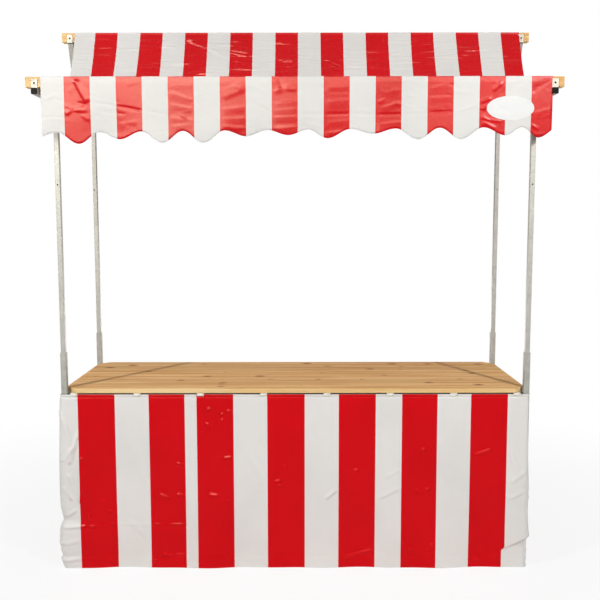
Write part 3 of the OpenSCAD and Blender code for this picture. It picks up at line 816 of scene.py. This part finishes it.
def band(centre, half, axis, across, up):
    """Points of a band round a square tube: closed rows for the four edges of the webbing."""
    squareness, steps = 7, 40
    turn = np.linspace(0, 2 * math.pi, steps, endpoint=False)
    square = (np.abs(np.cos(turn)) ** squareness + np.abs(np.sin(turn)) ** squareness) ** (-1 / squareness)
    rows = []
    for out, along in ((0, -1), (band_thick, -1), (band_thick, 1), (0, 1), (0, -1)):
        size = (half + band_room + out) * square
        ring = np.outer(np.cos(turn) * size, across) + np.outer(np.sin(turn) * size, up)
        rows.append(np.asarray(centre) + ring + along * band_width / 2 * np.asarray(axis))
    return np.stack(rows)


def band_piece(name, stands_for, bands, ends=()):
    """Joins bands that close round a tube, and ends that are open, into one piece that stands for a node."""
    faces, first = [], 0
    for made in [*bands, *ends]:
        rows, columns = made.shape[:2]
        if len(faces) < len(bands):
            faces.append(grid_faces(rows, columns, first, closed=True))
        else:
            cap = first + columns * np.arange(rows - 1)
            faces.append(np.concatenate([grid_faces(rows, columns, first), [cap, cap[::-1] + columns - 1]]))
        first += rows * columns
    points = np.concatenate([made.reshape(-1, 3) for made in [*bands, *ends]])
    made = piece(name, points, np.concatenate(faces), webbing)
    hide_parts(stands_for)
    return made


loop_count, tie_count = 8, 3
rail_low, rail_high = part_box("front_rail")
rail_middle, rail_half = (rail_low + rail_high) / 2, (rail_high.z - rail_low.z) / 2
loops_low, loops_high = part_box("skirt_loops")
loop_places = np.linspace(loops_low.x + band_width / 2, loops_high.x - band_width / 2, loop_count)


def sewn_end(x):
    """Points of a loop's end, which comes forward over the skirt's top edge and is sewn to its face."""
    down, up = skirt_high.z - 6 * mm, rail_high.z + band_room
    face, rail_face = front_y - 1.9 * mm, rail_low.y
    line = np.array([
        (face, down), (face - 1.2 * mm, down + 2.5 * mm), (face - 1.5 * mm, down + 5.5 * mm),
        (face - 0.6 * mm, down + 8 * mm), (rail_face - 1.4 * mm, up - 0.4 * mm), (rail_face + 2 * mm, up),
    ])
    steps = 40
    along = np.linspace(0, len(line) - 1, steps)
    line = np.stack([np.interp(along, np.arange(len(line)), line[:, i]) for i in (0, 1)], axis=1)
    ahead = np.gradient(line, axis=0)
    outward = np.stack([-ahead[:, 1], ahead[:, 0]], axis=1) / np.linalg.norm(ahead, axis=1, keepdims=True)
    rows = []
    for out, aside in ((0, 1), (band_thick, 1), (band_thick, -1), (0, -1), (0, 1)):
        edge = line + out * outward
        rows.append(np.column_stack([np.full(len(edge), x + aside * band_width / 2), edge]))
    return np.stack(rows)


loops = [band((x, rail_middle.y, rail_middle.z), rail_half, x_axis, y_axis, z_axis) for x in loop_places]
skirt_loops = band_piece("skirt_loops_webbing", "skirt_loops", loops, [sewn_end(x) for x in loop_places])
ties_low, ties_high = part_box("skirt_ties")
tie_places = np.linspace(ties_low.z + band_width / 2, ties_high.z - band_width / 2, tie_count)
rear_legs = [sum(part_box(name), Vector()) / 2 for name in ("left_rear_leg", "right_rear_leg")]
skirt_ties = band_piece("skirt_ties_webbing", "skirt_ties", [
    band((leg.x, leg.y, z), rail_half, z_axis, x_axis, y_axis) for leg in rear_legs for z in tie_places
])

# Studio
# A pale floor that runs out to white in a white room, a small lamp on either side in front, whose light
# throws the posts' shadows on the counter, strips like rows of windows, and a low softbox behind.
# The camera stands before the middle of the counter, above it, and looks slightly down.
scene = bpy.context.scene
scene.view_settings.view_transform = "Standard"


def looked_at(tree):
    """1 where the camera, or a shiny thing, looks at a surface, and 0 where the surface lights others."""
    ray = node(tree, "LightPath").outputs
    either = node(tree, "Math", {0: ray["Is Camera Ray"], 1: ray["Is Glossy Ray"]}, operation="MAXIMUM")
    any_look = {0: either.outputs[0], 1: ray["Is Transmission Ray"]}
    return node(tree, "Math", any_look, operation="MAXIMUM").outputs[0]


room = bpy.data.worlds.new("white_room")
room.use_nodes = True
scene.world = room
tree = room.node_tree
room_light = 0.15
strength = node(tree, "MapRange", {"Value": looked_at(tree), "To Min": room_light, "To Max": 1.0})
feed(tree.nodes["Background"], {"Color": (1.0, 1.0, 1.0, 1.0), "Strength": strength.outputs[0]})

# White floor paint: a faint shadow near the stall that runs out to plain white.
floor_half = 40.0
floor_paint, tree, shader = new_material("white_floor_paint")
away = node(tree, "VectorMath", {0: node(tree, "TexCoord").outputs["Object"]}, operation="LENGTH")
far = node(
    tree, "MapRange",
    {"Value": away.outputs["Value"], "From Min": 1.2, "From Max": 3.0, "To Min": 0.85, "To Max": 1.0},
)
whiten = node(tree, "Math", {0: looked_at(tree), 1: far.outputs[0]}, operation="MULTIPLY")
feed(shader, {"Base Color": linear("#f4f4f4"), "Roughness": 0.9, "Specular IOR Level": 0.1})
glow = node(tree, "Emission", {"Color": (1.0, 1.0, 1.0, 1.0), "Strength": 1.0})
both = node(tree, "MixShader", {0: whiten.outputs[0], 1: shader.outputs[0], 2: glow.outputs[0]})
feed(tree.nodes["Material Output"], {"Surface": both.outputs[0]})
floor_mesh = bpy.data.meshes.new("floor")
floor_mesh.from_pydata([(x, y, 0) for x, y in ((-1, -1), (1, -1), (1, 1), (-1, 1))], [], [(0, 1, 2, 3)])
floor_mesh.transform(Matrix.Scale(floor_half, 4))
floor_mesh.materials.append(floor_paint)
floor = bpy.data.objects.new("floor", floor_mesh)
scene.collection.objects.link(floor)

window_light = (1.0, 0.94, 0.72)
for name, place, aim, wide, high, power in (
    ("left_lamp", (-2.69, -2.5, 3.3), (0.0, 0.0, 1.2), 0.05, 0.05, 88),
    ("right_lamp", (2.2, -2.8, 3.3), (0.0, 0.0, 1.2), 0.05, 0.05, 83),
    ("left_strip", (-1.75, -3.6, 2.43), (-1.75, 0.0, 1.93), 3.1, 0.6, 92),
    ("right_strip", (1.5, -3.6, 2.43), (1.5, 0.0, 1.93), 3.0, 0.6, 25),
    ("upper_left_strip", (-1.75, -3.6, 3.3), (-1.75, 0.0, 1.93), 3.1, 0.8, 200),
    ("upper_right_strip", (1.5, -3.6, 3.3), (1.5, 0.0, 1.93), 3.0, 0.8, 94),
    ("rear_softbox", (0.0, 3.6, 0.5), (0.0, 0.0, 1.0), 3.0, 0.5, 60),
):
    light = bpy.data.lights.new(name, "AREA")
    light.shape = "RECTANGLE"
    light.size = wide
    light.size_y = high
    light.energy = power
    lamp = bpy.data.objects.new(name, light)
    lamp.location = place
    lamp.rotation_euler = (Vector(aim) - Vector(place)).to_track_quat("-Z", "Y").to_euler()
    lamp.visible_camera = False
    scene.collection.objects.link(lamp)
    # The strips only show in the gloss of the cloth, as far rows of windows would
    if name.endswith("_strip"):
        lamp.visible_diffuse = False
        light.color = window_light

# Place, angles and focal length come from fitting the camera to the photo
image_width, focal_pixels = 600, 778.5
camera_place = (0.021, -3.588, 1.528)
pitch, yaw, roll = math.radians(5.86), math.radians(-0.01), math.radians(-0.06)
ahead = Vector((math.sin(yaw) * math.cos(pitch), math.cos(yaw) * math.cos(pitch), -math.sin(pitch)))
level = Vector((math.cos(yaw), -math.sin(yaw), 0))
right = math.cos(roll) * level + math.sin(roll) * level.cross(ahead)
lens = bpy.data.cameras.new("camera")
lens.sensor_width = 36
lens.lens = focal_pixels / image_width * lens.sensor_width
camera = bpy.data.objects.new("camera", lens)
turned = Matrix((right, right.cross(ahead), -ahead)).transposed().to_4x4()
camera.matrix_world = Matrix.Translation(camera_place) @ turned
scene.collection.objects.link(camera)
scene.camera = camera
